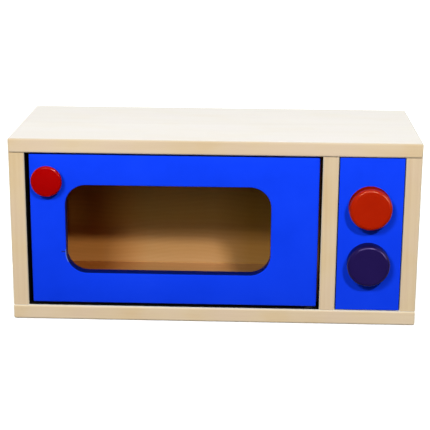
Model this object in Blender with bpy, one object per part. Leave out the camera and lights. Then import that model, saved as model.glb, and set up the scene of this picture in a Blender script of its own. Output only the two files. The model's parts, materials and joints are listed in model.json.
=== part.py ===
"""Toy microwave oven: a birch case, a blue door with a window, and a control panel with two dials.

Metres, +Z up, +X to the right, and the front faces -Y. The origin is under the middle of the case.
"""

import math

import bmesh
import bpy
from mathutils import Matrix, Vector

# Fits
SEAT_GAP = 0.0003
RUNNING_CLEARANCE = 0.00006
CUT_OVERRUN = 0.002

# Case boards
CASE_WIDTH = 0.460
CASE_DEPTH = 0.190
CASE_HEIGHT = 0.2125
SHELF_THICKNESS = 0.0165
UPRIGHT_THICKNESS = 0.018
UPRIGHT_SETBACK = 0.001
CONTROL_BAY_WIDTH = 0.0736
BOARD_EASE = 0.002
BACK_PANEL_THICKNESS = 0.006
BACK_PANEL_SETBACK = 0.018
GROOVE_DEPTH = 0.005

# Case joints
DOWEL_DIAMETER = 0.008
DOWEL_CHAMFER = 0.001
DOWEL_REACH_IN_UPRIGHT = 0.020
DOWEL_SHELF_SHARE = 0.6
FIXING_INSET = 0.032
BASE_SCREW_DIAMETER = 0.004
BASE_SCREW_HEAD_DIAMETER = 0.008
BASE_SCREW_REACH_IN_UPRIGHT = 0.024

# Door
DOOR_THICKNESS = 0.015
DOOR_SETBACK = 0.001
DOOR_GAP_FREE_SIDE = 0.0049
DOOR_GAP_HINGE_SIDE = 0.0032
DOOR_GAP_ABOVE = 0.0016
DOOR_GAP_BELOW = 0.0039
DOOR_CORNER_RADIUS = 0.003
DOOR_EASE = 0.0018
FREE_STILE_WIDTH = 0.0396
HINGE_STILE_WIDTH = 0.0531
TOP_RAIL_HEIGHT = 0.0350
BOTTOM_RAIL_HEIGHT = 0.0358
WINDOW_CORNER_RADIUS = 0.024
WINDOW_EASE = 0.0012

# Door pivots
PIVOT_EDGE_DISTANCE = 0.008
PIVOT_PIN_DIAMETER = 0.005
PIVOT_PIN_CHAMFER = 0.0005
PIVOT_PIN_REACH_IN_DOOR = 0.012
PIVOT_PIN_SHELF_SHARE = 0.7
PIVOT_BUSH_WALL = 0.0012
PIVOT_BUSH_LENGTH = 0.014
PIVOT_RING_WIDTH = 0.0025

# Door knob
KNOB_DIAMETER = 0.035
KNOB_NECK_DIAMETER = 0.020
KNOB_NECK_HEIGHT = 0.0045
KNOB_HEAD_THICKNESS = 0.0075
KNOB_DOME = 0.0012
KNOB_ROUND = 0.003
KNOB_FROM_FREE_EDGE = 0.0205
KNOB_FROM_TOP_EDGE = 0.0292
KNOB_SCREW_DIAMETER = 0.004
KNOB_SCREW_HEAD_DIAMETER = 0.008
KNOB_SCREW_SHARE = 0.6

# Magnetic catch
STRIKE_DIAMETER = 0.012
STRIKE_THICKNESS = 0.0015
STRIKE_FROM_FREE_EDGE = 0.0105
STRIKE_SCREW_DIAMETER = 0.003
STRIKE_SCREW_HEAD_DIAMETER = 0.0055
STRIKE_SCREW_SHARE = 0.6
CATCH_AIR_GAP = 0.0005
CATCH_DEPTH = 0.014
CATCH_BODY_HEIGHT = 0.022
CATCH_WALL = 0.0025
CATCH_EAR_HEIGHT = 0.011
CATCH_EAR_THICKNESS = 0.003
MAGNET_DIAMETER = 0.010
MAGNET_LENGTH = 0.006
MAGNET_CHAMFER = 0.0005
CATCH_SCREW_DIAMETER = 0.003
CATCH_SCREW_HEAD_DIAMETER = 0.0055
CATCH_SCREW_SHARE = 0.6

# Control panel
PANEL_THICKNESS = 0.012
PANEL_SETBACK = 0.0015
PANEL_GAP = 0.0009
PANEL_EASE = 0.0006
CLEAT_WIDTH = 0.012
CLEAT_DEPTH = 0.014
CLEAT_END_GAP = 0.012
CLEAT_EASE = 0.0008
PANEL_SCREW_INSET = 0.025
PANEL_SCREW_DIAMETER = 0.003
PANEL_SCREW_HEAD_DIAMETER = 0.006
PANEL_SCREW_SHARE = 0.6

# Dials
DIAL_DIAMETER = 0.0478
DIAL_THICKNESS = 0.0165
DIAL_FRONT_ROUND = 0.0032
DIAL_REAR_ROUND = 0.0015
UPPER_DIAL_HEIGHT_SHARE = 0.69
LOWER_DIAL_HEIGHT_SHARE = 0.322
DIAL_OFFSET = 0.0014
AXLE_DIAMETER = 0.006
AXLE_CHAMFER = 0.0005
AXLE_DIAL_SHARE = 0.6
AXLE_END = 0.002
DIAL_BUSH_WALL = 0.0012
FELT_WASHER_DIAMETER = 0.020
FELT_WASHER_THICKNESS = 0.001
REAR_WASHER_DIAMETER = 0.014
REAR_WASHER_THICKNESS = 0.0012
LOCK_NUT_WIDTH = 0.010
LOCK_NUT_THICKNESS = 0.005

# Screw shape, in shares of the screw's own diameters
SCREW_TIP_SHARE = 1.2
SCREW_RECESS_SHARE = 0.45
SCREW_RECESS_DEPTH_SHARE = 0.3

# Mesh fineness
EASE_STEPS = 3
WINDOW_CORNER_STEPS = 7
DIAL_SIDES = 56
KNOB_SIDES = 40
SHAFT_SIDES = 24
NUT_SIDES = 24
FIXING_SIDES = 12
SMOOTH_ANGLE = math.radians(35)

# Planes and edges that the pieces share
FRONT = -CASE_DEPTH / 2
REAR = CASE_DEPTH / 2
CASE_RIGHT = CASE_WIDTH / 2
FLOOR = SHELF_THICKNESS
CEILING = CASE_HEIGHT - SHELF_THICKNESS
UPRIGHT_FRONT = FRONT + UPRIGHT_SETBACK
SIDE_INNER = CASE_RIGHT - UPRIGHT_THICKNESS
DIVIDER_RIGHT = SIDE_INNER - CONTROL_BAY_WIDTH
DIVIDER_LEFT = DIVIDER_RIGHT - UPRIGHT_THICKNESS
BACK_PANEL_REAR = REAR - BACK_PANEL_SETBACK
BACK_PANEL_FRONT = BACK_PANEL_REAR - BACK_PANEL_THICKNESS
DIVIDER_REAR = BACK_PANEL_FRONT - SEAT_GAP

DOOR_FRONT = FRONT + DOOR_SETBACK
DOOR_REAR = DOOR_FRONT + DOOR_THICKNESS
DOOR_LEFT = -SIDE_INNER + DOOR_GAP_FREE_SIDE
DOOR_RIGHT = DIVIDER_LEFT - DOOR_GAP_HINGE_SIDE
DOOR_BOTTOM = FLOOR + DOOR_GAP_BELOW
DOOR_TOP = CEILING - DOOR_GAP_ABOVE
HINGE_X = DOOR_RIGHT - PIVOT_EDGE_DISTANCE
HINGE_Y = (DOOR_FRONT + DOOR_REAR) / 2
KNOB_X = DOOR_LEFT + KNOB_FROM_FREE_EDGE
KNOB_Z = DOOR_TOP - KNOB_FROM_TOP_EDGE
STRIKE_X = DOOR_LEFT + STRIKE_FROM_FREE_EDGE
STRIKE_Z = (DOOR_BOTTOM + DOOR_TOP) / 2

PANEL_FRONT = FRONT + PANEL_SETBACK
PANEL_REAR = PANEL_FRONT + PANEL_THICKNESS
PANEL_LEFT = DIVIDER_RIGHT + PANEL_GAP
PANEL_RIGHT = SIDE_INNER - PANEL_GAP
PANEL_BOTTOM = FLOOR + PANEL_GAP
PANEL_TOP = CEILING - PANEL_GAP
DIAL_X = (PANEL_LEFT + PANEL_RIGHT) / 2 - DIAL_OFFSET
DIAL_REAR = PANEL_FRONT - FELT_WASHER_THICKNESS - 2 * SEAT_GAP


# Scene and materials

def clear_scene():
    for obj in list(bpy.data.objects):
        bpy.data.objects.remove(obj, do_unlink=True)


def finish(name, colour, roughness, metallic=0.0):
    material = bpy.data.materials.new(name)
    material.use_nodes = True
    shader = material.node_tree.nodes["Principled BSDF"]
    shader.inputs["Base Color"].default_value = (*colour, 1.0)
    shader.inputs["Roughness"].default_value = roughness
    shader.inputs["Metallic"].default_value = metallic
    return material


def make_finishes():
    return {
        "birch": finish("birch", (0.70, 0.54, 0.36), 0.45),
        "plywood": finish("plywood", (0.54, 0.27, 0.085), 0.55),
        "blue_paint": finish("blue_paint", (0.005, 0.053, 0.90), 0.35),
        "red_paint": finish("red_paint", (0.36, 0.002, 0.002), 0.30),
        "orange_red_paint": finish("orange_red_paint", (0.43, 0.016, 0.002), 0.30),
        "purple_paint": finish("purple_paint", (0.018, 0.009, 0.075), 0.30),
        "steel": finish("steel", (0.60, 0.60, 0.62), 0.30, 1.0),
        "brass": finish("brass", (0.72, 0.52, 0.22), 0.30, 1.0),
        "nylon": finish("nylon", (0.75, 0.73, 0.68), 0.50),
        "black_nylon": finish("black_nylon", (0.012, 0.012, 0.013), 0.50),
        "felt": finish("felt", (0.03, 0.03, 0.03), 0.95),
        "magnet": finish("magnet", (0.08, 0.08, 0.09), 0.40, 0.5),
    }


# Mesh tools

def mesh_from(bm, name):
    bmesh.ops.recalc_face_normals(bm, faces=bm.faces)
    mesh = bpy.data.meshes.new(name)
    bm.to_mesh(mesh)
    bm.free()
    return mesh


def smooth(mesh):
    mesh.shade_smooth()
    mesh.set_sharp_from_angle(angle=SMOOTH_ANGLE)


def place(name, mesh, material, location=(0, 0, 0), turn=None, parent=None):
    """Puts a mesh in the scene at a world place, turned by a matrix and carried by an empty."""
    obj = bpy.data.objects.new(name, mesh)
    bpy.context.collection.objects.link(obj)
    if material and not mesh.materials:
        mesh.materials.append(material)
    if turn:
        obj.rotation_euler = turn.to_euler()
    obj.location = location
    if parent:
        obj.parent = parent
        obj.location = Vector(location) - parent.location
    return obj


def axis_empty(name, location):
    empty = bpy.data.objects.new(name, None)
    bpy.context.collection.objects.link(empty)
    empty.location = location
    return empty


def cut(target, name, mesh, location=(0, 0, 0), turn=None):
    """Takes a shape away from a piece. The shape stays as a hidden guide that the piece carries."""
    cutter = place(name, mesh, None, location, turn, target.parent)
    cutter.hide_render = True
    cutter.display_type = "WIRE"
    modifier = target.modifiers.new(name, "BOOLEAN")
    modifier.operation = "DIFFERENCE"
    modifier.solver = "EXACT"
    modifier.object = cutter


def box_mesh(name, low, high, ease=0, eased_axes=""):
    """A box between two corners, about its own middle, with its edges along the given axes eased."""
    size = Vector(high) - Vector(low)
    bm = bmesh.new()
    bmesh.ops.create_cube(bm, size=1)
    bmesh.ops.scale(bm, vec=size, verts=bm.verts)
    edges = []
    for edge in bm.edges:
        run = edge.verts[1].co - edge.verts[0].co
        axis = max(range(3), key=lambda i: abs(run[i]))
        if "XYZ"[axis] in eased_axes:
            edges.append(edge)
    if edges:
        bmesh.ops.bevel(bm, geom=edges, offset=ease, segments=EASE_STEPS, profile=0.5, affect="EDGES")
    return mesh_from(bm, name)


def board(name, low, high, material, ease, eased_axes):
    mesh = box_mesh(name, low, high, ease, eased_axes)
    smooth(mesh)
    return place(name, mesh, material, (Vector(low) + Vector(high)) / 2)


def arc(centre, radius, start_degrees, end_degrees, steps):
    """Points of (radius, height) along an arc, ends included."""
    points = []
    for step in range(steps + 1):
        angle = math.radians(start_degrees + (end_degrees - start_degrees) * step / steps)
        points.append((centre[0] + radius * math.cos(angle), centre[1] + radius * math.sin(angle)))
    return points


def turned_mesh(name, profile, sides, ring=False):
    """A profile of (radius, height) points turned about Z. A ring also joins its last point to its first."""
    bm = bmesh.new()
    rows = []
    for radius, height in profile:
        if radius == 0:
            rows.append([bm.verts.new((0, 0, height))])
            continue
        row = []
        for side in range(sides):
            angle = 2 * math.pi * side / sides
            row.append(bm.verts.new((radius * math.cos(angle), radius * math.sin(angle), height)))
        rows.append(row)
    pairs = list(zip(rows, rows[1:]))
    if ring:
        pairs.append((rows[-1], rows[0]))
    for lower, upper in pairs:
        for side in range(sides):
            following = (side + 1) % sides
            corners = [lower[side % len(lower)], lower[following % len(lower)],
                       upper[following % len(upper)], upper[side % len(upper)]]
            bm.faces.new(list(dict.fromkeys(corners)))
    if not ring:
        for row in (rows[0], rows[-1]):
            if len(row) > 1:
                bm.faces.new(row)
    mesh = mesh_from(bm, name)
    smooth(mesh)
    return mesh


def pin_profile(diameter, length, chamfer):
    radius = diameter / 2
    return [(radius - chamfer, 0), (radius, chamfer), (radius, length - chamfer), (radius - chamfer, length)]


def tube_profile(inner_radius, outer_radius, length):
    return [(inner_radius, 0), (outer_radius, 0), (outer_radius, length), (inner_radius, length)]


def screw_profile(diameter, head_diameter, length):
    """A countersunk screw that starts at its head and points along +Z."""
    shank = diameter / 2
    head = head_diameter / 2
    recess = head * SCREW_RECESS_SHARE
    return [(0, head_diameter * SCREW_RECESS_DEPTH_SHARE), (recess, 0), (head, 0), (shank, head - shank),
            (shank, length - diameter * SCREW_TIP_SHARE), (0, length)]


def screw_hole_profile(diameter, head_diameter, length):
    """The countersunk hole of a screw, with the seat gap all round, that runs out past the head."""
    shank = diameter / 2 + SEAT_GAP
    head = head_diameter / 2 + SEAT_GAP
    return [(head, -CUT_OVERRUN), (head, 0), (shank, head - shank),
            (shank, length - diameter * SCREW_TIP_SHARE), (SEAT_GAP, length + SEAT_GAP)]


def blind_hole_profile(diameter, depth):
    radius = diameter / 2 + SEAT_GAP
    return [(radius, -CUT_OVERRUN), (radius, depth + SEAT_GAP)]


def bored_radius(shaft_radius):
    """Radius of a many-sided bore whose flats clear a turning shaft by the running clearance."""
    return (shaft_radius + RUNNING_CLEARANCE) / math.cos(math.pi / SHAFT_SIDES)


def copies_mesh(name, source, places, turn=None):
    """One mesh that holds a copy of a source mesh at each place."""
    bm = bmesh.new()
    rotation = turn.to_4x4() if turn else Matrix.Identity(4)
    for spot in places:
        start = len(bm.verts)
        bm.from_mesh(source)
        bm.verts.ensure_lookup_table()
        bmesh.ops.transform(bm, matrix=Matrix.Translation(spot) @ rotation, verts=bm.verts[start:])
    mesh = mesh_from(bm, name)
    smooth(mesh)
    return mesh


def rounded_rectangle(low, high, radius, steps):
    """Points of a rounded rectangle in X and Z, corner by corner."""
    corners = [((high[0] - radius, high[1] - radius), 0), ((low[0] + radius, high[1] - radius), 90),
               ((low[0] + radius, low[1] + radius), 180), ((high[0] - radius, low[1] + radius), 270)]
    points = []
    for centre, start in corners:
        points += arc(centre, radius, start, start + 90, steps)
    return points


def prism_mesh(name, outline, depth):
    """An outline in X and Z that runs back along Y."""
    bm = bmesh.new()
    front = [bm.verts.new((x, 0, z)) for x, z in outline]
    rear = [bm.verts.new((x, depth, z)) for x, z in outline]
    bm.faces.new(front)
    bm.faces.new(rear)
    for index in range(len(outline)):
        following = (index + 1) % len(outline)
        bm.faces.new((front[index], front[following], rear[following], rear[index]))
    return mesh_from(bm, name)


FACE_FRONT = Matrix.Rotation(math.radians(90), 3, "X")
FACE_REAR = Matrix.Rotation(math.radians(-90), 3, "X")
FACE_LEFT = Matrix.Rotation(math.radians(-90), 3, "Y")
FACE_DOWN = Matrix.Rotation(math.radians(180), 3, "X")


# Case

def upright_spans():
    """X limits and rear edge of each upright board."""
    return {
        "left_side_board": (-CASE_RIGHT, -SIDE_INNER, REAR),
        "divider_board": (DIVIDER_LEFT, DIVIDER_RIGHT, DIVIDER_REAR),
        "right_side_board": (SIDE_INNER, CASE_RIGHT, REAR),
    }


def fixing_spots(left, right, rear, height):
    """Spots on the end of an upright, near its front and its rear edge."""
    middle = (left + right) / 2
    return {"front": (middle, UPRIGHT_FRONT + FIXING_INSET, height),
            "rear": (middle, rear - FIXING_INSET, height)}


def make_case(finishes):
    shelf_low = (-CASE_RIGHT, FRONT)
    shelf_high = (CASE_RIGHT, REAR)
    shelves = {
        "bottom_board": board("bottom_board", (*shelf_low, 0), (*shelf_high, FLOOR),
                              finishes["birch"], BOARD_EASE, "XYZ"),
        "top_board": board("top_board", (*shelf_low, CEILING), (*shelf_high, CASE_HEIGHT),
                           finishes["birch"], BOARD_EASE, "XYZ"),
    }
    uprights = {}
    for name, (left, right, rear) in upright_spans().items():
        low = (left, UPRIGHT_FRONT, FLOOR + SEAT_GAP)
        high = (right, rear, CEILING - SEAT_GAP)
        uprights[name] = board(name, low, high, finishes["birch"], BOARD_EASE, "Z")

    add_back_panel(finishes, shelves, uprights)
    add_dowels(finishes, shelves, uprights)
    add_base_screws(finishes, shelves, uprights)
    add_pivot_pins(finishes, shelves)
    return uprights


def add_back_panel(finishes, shelves, uprights):
    groove_side = SIDE_INNER + GROOVE_DEPTH
    groove_low = (-groove_side, BACK_PANEL_FRONT - SEAT_GAP, FLOOR - GROOVE_DEPTH)
    groove_high = (groove_side, BACK_PANEL_REAR + SEAT_GAP, CEILING + GROOVE_DEPTH)
    panel_side = groove_side - SEAT_GAP
    board("back_panel", (-panel_side, BACK_PANEL_FRONT, FLOOR - GROOVE_DEPTH + SEAT_GAP),
          (panel_side, BACK_PANEL_REAR, CEILING + GROOVE_DEPTH - SEAT_GAP), finishes["plywood"], 0, "")
    middle = (Vector(groove_low) + Vector(groove_high)) / 2
    grooved = [shelves["bottom_board"], shelves["top_board"],
               uprights["left_side_board"], uprights["right_side_board"]]
    for target in grooved:
        name = target.name + "_groove_cut"
        cut(target, name, box_mesh(name, groove_low, groove_high), middle)


def add_dowels(finishes, shelves, uprights):
    """Dowels in the joints under the top board, half hidden in each board."""
    reach_in_shelf = SHELF_THICKNESS * DOWEL_SHELF_SHARE
    dowel = turned_mesh("dowel", pin_profile(DOWEL_DIAMETER, DOWEL_REACH_IN_UPRIGHT + reach_in_shelf,
                                             DOWEL_CHAMFER), FIXING_SIDES)
    hole_down = turned_mesh("dowel_hole_down", blind_hole_profile(DOWEL_DIAMETER, DOWEL_REACH_IN_UPRIGHT),
                            FIXING_SIDES)
    hole_up = turned_mesh("dowel_hole_up", blind_hole_profile(DOWEL_DIAMETER, reach_in_shelf), FIXING_SIDES)
    ceiling_spots = []
    for name, span in upright_spans().items():
        spots = list(fixing_spots(*span, CEILING).values())
        ceiling_spots += spots
        cut_name = name + "_dowel_cut"
        cut(uprights[name], cut_name, copies_mesh(cut_name, hole_down, spots, FACE_DOWN))
        for end, foot in fixing_spots(*span, CEILING - DOWEL_REACH_IN_UPRIGHT).items():
            place(name.replace("board", end + "_dowel"), dowel, finishes["birch"], foot)
    cut(shelves["top_board"], "top_board_dowel_cut",
        copies_mesh("top_board_dowel_cut", hole_up, ceiling_spots))


def add_base_screws(finishes, shelves, uprights):
    """Screws through the bottom board into the uprights, with their heads sunk below its underside."""
    length = SHELF_THICKNESS + BASE_SCREW_REACH_IN_UPRIGHT - SEAT_GAP
    screw = turned_mesh("base_screw", screw_profile(BASE_SCREW_DIAMETER, BASE_SCREW_HEAD_DIAMETER, length),
                        FIXING_SIDES)
    hole = turned_mesh("base_screw_hole",
                       screw_hole_profile(BASE_SCREW_DIAMETER, BASE_SCREW_HEAD_DIAMETER, length),
                       FIXING_SIDES)
    all_spots = []
    for name, span in upright_spans().items():
        spots = fixing_spots(*span, SEAT_GAP)
        all_spots += spots.values()
        cut_name = name + "_screw_cut"
        cut(uprights[name], cut_name, copies_mesh(cut_name, hole, spots.values()))
        for end, spot in spots.items():
            place(name.replace("board", end + "_base_screw"), screw, finishes["steel"], spot)
    cut(shelves["bottom_board"], "bottom_board_screw_cut",
        copies_mesh("bottom_board_screw_cut", hole, all_spots))


def add_pivot_pins(finishes, shelves):
    """Steel pins in the top and bottom boards, with a ring between each board and the door."""
    reach_in_shelf = SHELF_THICKNESS * PIVOT_PIN_SHELF_SHARE
    ring_inner = bored_radius(PIVOT_PIN_DIAMETER / 2)
    ring_outer = ring_inner + PIVOT_RING_WIDTH
    ends = (
        ("lower", shelves["bottom_board"], FLOOR, DOOR_GAP_BELOW, FACE_DOWN, 1, "lower_pivot_spacer"),
        ("upper", shelves["top_board"], CEILING, DOOR_GAP_ABOVE, None, -1, "upper_pivot_washer"),
    )
    for end, shelf, face, door_gap, into_shelf, towards_door, ring_name in ends:
        length = reach_in_shelf + door_gap + PIVOT_PIN_REACH_IN_DOOR
        pin = turned_mesh(end + "_pivot_pin", pin_profile(PIVOT_PIN_DIAMETER, length, PIVOT_PIN_CHAMFER),
                          SHAFT_SIDES)
        pin_low = min(face - towards_door * reach_in_shelf, face + towards_door * (length - reach_in_shelf))
        place(end + "_pivot_pin", pin, finishes["steel"], (HINGE_X, HINGE_Y, pin_low))
        hole = turned_mesh(end + "_pin_cut", blind_hole_profile(PIVOT_PIN_DIAMETER, reach_in_shelf),
                           SHAFT_SIDES)
        cut(shelf, end + "_pin_cut", hole, (HINGE_X, HINGE_Y, face), into_shelf)
        ring = turned_mesh(ring_name, tube_profile(ring_inner, ring_outer, door_gap - 2 * SEAT_GAP),
                           SHAFT_SIDES, True)
        ring_low = min(face, face + towards_door * door_gap) + SEAT_GAP
        place(ring_name, ring, finishes["black_nylon"], (HINGE_X, HINGE_Y, ring_low))


# Magnetic catch on the left side board

def add_catch(finishes, side_board):
    """A housing with two ears against the side board, its magnet facing the door's strike plate."""
    face = -SIDE_INNER + SEAT_GAP
    front = DOOR_REAR + CATCH_AIR_GAP
    body_reach = STRIKE_X + MAGNET_DIAMETER / 2 + CATCH_WALL - face
    half_body = CATCH_BODY_HEIGHT / 2
    half_whole = half_body + CATCH_EAR_HEIGHT
    outline = [(0, -half_whole), (CATCH_EAR_THICKNESS, -half_whole), (CATCH_EAR_THICKNESS, -half_body),
               (body_reach, -half_body), (body_reach, half_body), (CATCH_EAR_THICKNESS, half_body),
               (CATCH_EAR_THICKNESS, half_whole), (0, half_whole)]
    housing = place("catch_housing", prism_mesh("catch_housing", outline, CATCH_DEPTH), finishes["black_nylon"],
                    (face, front, STRIKE_Z))

    magnet = turned_mesh("catch_magnet", pin_profile(MAGNET_DIAMETER, MAGNET_LENGTH, MAGNET_CHAMFER),
                         SHAFT_SIDES)
    place("catch_magnet", magnet, finishes["magnet"], (STRIKE_X, front, STRIKE_Z), FACE_REAR)
    pocket = turned_mesh("catch_magnet_cut", blind_hole_profile(MAGNET_DIAMETER, MAGNET_LENGTH), SHAFT_SIDES)
    cut(housing, "catch_magnet_cut", pocket, (STRIKE_X, front, STRIKE_Z), FACE_REAR)

    length = CATCH_EAR_THICKNESS + UPRIGHT_THICKNESS * CATCH_SCREW_SHARE
    screw = turned_mesh("catch_screw", screw_profile(CATCH_SCREW_DIAMETER, CATCH_SCREW_HEAD_DIAMETER, length),
                        FIXING_SIDES)
    hole = turned_mesh("catch_screw_hole",
                       screw_hole_profile(CATCH_SCREW_DIAMETER, CATCH_SCREW_HEAD_DIAMETER, length),
                       FIXING_SIDES)
    ear_middle = half_body + CATCH_EAR_HEIGHT / 2
    spots = []
    for end, side in (("lower", -1), ("upper", 1)):
        spot = (face + CATCH_EAR_THICKNESS, front + CATCH_DEPTH / 2, STRIKE_Z + side * ear_middle)
        spots.append(spot)
        place(end + "_catch_screw", screw, finishes["steel"], spot, FACE_LEFT)
    for target in (housing, side_board):
        name = target.name + "_catch_screw_cut"
        cut(target, name, copies_mesh(name, hole, spots, FACE_LEFT))


# Door

def door_panel_mesh():
    """A panel with a window. Loops run round its section: outer edge, rear face, window edge, front face."""
    low = (DOOR_LEFT - HINGE_X, DOOR_BOTTOM)
    high = (DOOR_RIGHT - HINGE_X, DOOR_TOP)
    window_low = (low[0] + FREE_STILE_WIDTH, low[1] + BOTTOM_RAIL_HEIGHT)
    window_high = (high[0] - HINGE_STILE_WIDTH, high[1] - TOP_RAIL_HEIGHT)
    front = DOOR_FRONT - HINGE_Y
    loops = []

    def add_loop(inset, depth, base_low, base_high, radius):
        points = rounded_rectangle((base_low[0] + inset, base_low[1] + inset),
                                   (base_high[0] - inset, base_high[1] - inset),
                                   radius - inset, WINDOW_CORNER_STEPS)
        loops.append([(x, front + depth, z) for x, z in points])

    def eased_edge(ease, first_depth, last_depth, sign, base_low, base_high, radius):
        """Both eased corners of one edge, from one face to the other."""
        into = 1 if last_depth > first_depth else -1
        for step in range(EASE_STEPS + 1):
            angle = math.radians(90 * step / EASE_STEPS)
            add_loop(sign * ease * (1 - math.sin(angle)), first_depth + into * ease * (1 - math.cos(angle)),
                     base_low, base_high, radius)
        for step in range(EASE_STEPS + 1):
            angle = math.radians(90 - 90 * step / EASE_STEPS)
            add_loop(sign * ease * (1 - math.sin(angle)), last_depth - into * ease * (1 - math.cos(angle)),
                     base_low, base_high, radius)

    eased_edge(DOOR_EASE, 0, DOOR_THICKNESS, 1, low, high, DOOR_CORNER_RADIUS)
    eased_edge(WINDOW_EASE, DOOR_THICKNESS, 0, -1, window_low, window_high, WINDOW_CORNER_RADIUS)

    bm = bmesh.new()
    rows = [[bm.verts.new(point) for point in loop] for loop in loops]
    for index, row in enumerate(rows):
        following_row = rows[(index + 1) % len(rows)]
        for spot in range(len(row)):
            following = (spot + 1) % len(row)
            bm.faces.new((row[spot], row[following], following_row[following], following_row[spot]))
    mesh = mesh_from(bm, "door_panel")
    smooth(mesh)
    return mesh


def knob_mesh():
    """A mushroom knob turned about Z, with a blind screw hole in its foot."""
    neck = KNOB_NECK_DIAMETER / 2
    head = KNOB_DIAMETER / 2
    hole = KNOB_SCREW_DIAMETER / 2 + SEAT_GAP
    whole = KNOB_NECK_HEIGHT + KNOB_HEAD_THICKNESS
    hole_depth = whole * KNOB_SCREW_SHARE + SEAT_GAP
    shoulder = whole - KNOB_DOME - KNOB_ROUND
    profile = [(0, hole_depth), (hole, hole_depth), (hole, 0), (neck, 0), (neck, KNOB_NECK_HEIGHT / 2)]
    profile += arc((head - KNOB_ROUND, KNOB_NECK_HEIGHT + KNOB_ROUND), KNOB_ROUND, -60, 0, EASE_STEPS)
    profile += arc((head - KNOB_ROUND, shoulder), KNOB_ROUND, 0, 75, EASE_STEPS + 1)
    profile.append((head / 2, whole - KNOB_DOME / 4))
    profile.append((0, whole))
    return turned_mesh("door_knob", profile, KNOB_SIDES)


def make_door(finishes):
    hinge = axis_empty("door_hinge", (HINGE_X, HINGE_Y, 0))
    door = place("door_panel", door_panel_mesh(), finishes["blue_paint"], (HINGE_X, HINGE_Y, 0), None, hinge)
    add_pivot_bushes(finishes, door, hinge)
    add_knob(finishes, door, hinge)
    add_strike(finishes, door, hinge)


def add_pivot_bushes(finishes, door, hinge):
    inner = bored_radius(PIVOT_PIN_DIAMETER / 2)
    outer = inner + PIVOT_BUSH_WALL
    for end, face, turn in (("lower", DOOR_BOTTOM, None), ("upper", DOOR_TOP, FACE_DOWN)):
        bush = turned_mesh(end + "_pivot_bush", tube_profile(inner, outer, PIVOT_BUSH_LENGTH),
                           SHAFT_SIDES, True)
        place(end + "_pivot_bush", bush, finishes["brass"], (HINGE_X, HINGE_Y, face), turn, hinge)
        hole = turned_mesh(end + "_bush_cut", blind_hole_profile(2 * outer, PIVOT_BUSH_LENGTH), SHAFT_SIDES)
        cut(door, end + "_bush_cut", hole, (HINGE_X, HINGE_Y, face), turn)


def add_knob(finishes, door, hinge):
    place("door_knob", knob_mesh(), finishes["red_paint"], (KNOB_X, DOOR_FRONT - SEAT_GAP, KNOB_Z),
          FACE_FRONT, hinge)
    length = DOOR_THICKNESS + SEAT_GAP + (KNOB_NECK_HEIGHT + KNOB_HEAD_THICKNESS) * KNOB_SCREW_SHARE
    sizes = (KNOB_SCREW_DIAMETER, KNOB_SCREW_HEAD_DIAMETER, length)
    place("door_knob_screw", turned_mesh("door_knob_screw", screw_profile(*sizes), FIXING_SIDES),
          finishes["steel"], (KNOB_X, DOOR_REAR, KNOB_Z), FACE_FRONT, hinge)
    hole = turned_mesh("knob_screw_cut", screw_hole_profile(*sizes), FIXING_SIDES)
    cut(door, "knob_screw_cut", hole, (KNOB_X, DOOR_REAR, KNOB_Z), FACE_FRONT)


def add_strike(finishes, door, hinge):
    """A steel disc let into the door's rear face, with a countersunk screw in its middle."""
    spot = (STRIKE_X, DOOR_REAR, STRIKE_Z)
    length = DOOR_THICKNESS * STRIKE_SCREW_SHARE
    sizes = (STRIKE_SCREW_DIAMETER, STRIKE_SCREW_HEAD_DIAMETER, length)
    radius = STRIKE_DIAMETER / 2
    plate = place("strike_plate", turned_mesh("strike_plate", [(radius, 0), (radius, STRIKE_THICKNESS)],
                                              SHAFT_SIDES), finishes["steel"], spot, FACE_FRONT, hinge)
    cut(plate, "strike_plate_cut", turned_mesh("strike_plate_cut", screw_hole_profile(*sizes), FIXING_SIDES),
        spot, FACE_FRONT)
    place("strike_screw", turned_mesh("strike_screw", screw_profile(*sizes), FIXING_SIDES),
          finishes["steel"], spot, FACE_FRONT, hinge)
    seat_floor = STRIKE_THICKNESS + SEAT_GAP
    shank = STRIKE_SCREW_DIAMETER / 2 + SEAT_GAP
    seat = [(radius + SEAT_GAP, -CUT_OVERRUN), (radius + SEAT_GAP, seat_floor), (shank, seat_floor),
            (shank, length - STRIKE_SCREW_DIAMETER * SCREW_TIP_SHARE), (SEAT_GAP, length + SEAT_GAP)]
    cut(door, "strike_seat_cut", turned_mesh("strike_seat_cut", seat, SHAFT_SIDES), spot, FACE_FRONT)


# Control panel and dials

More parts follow.
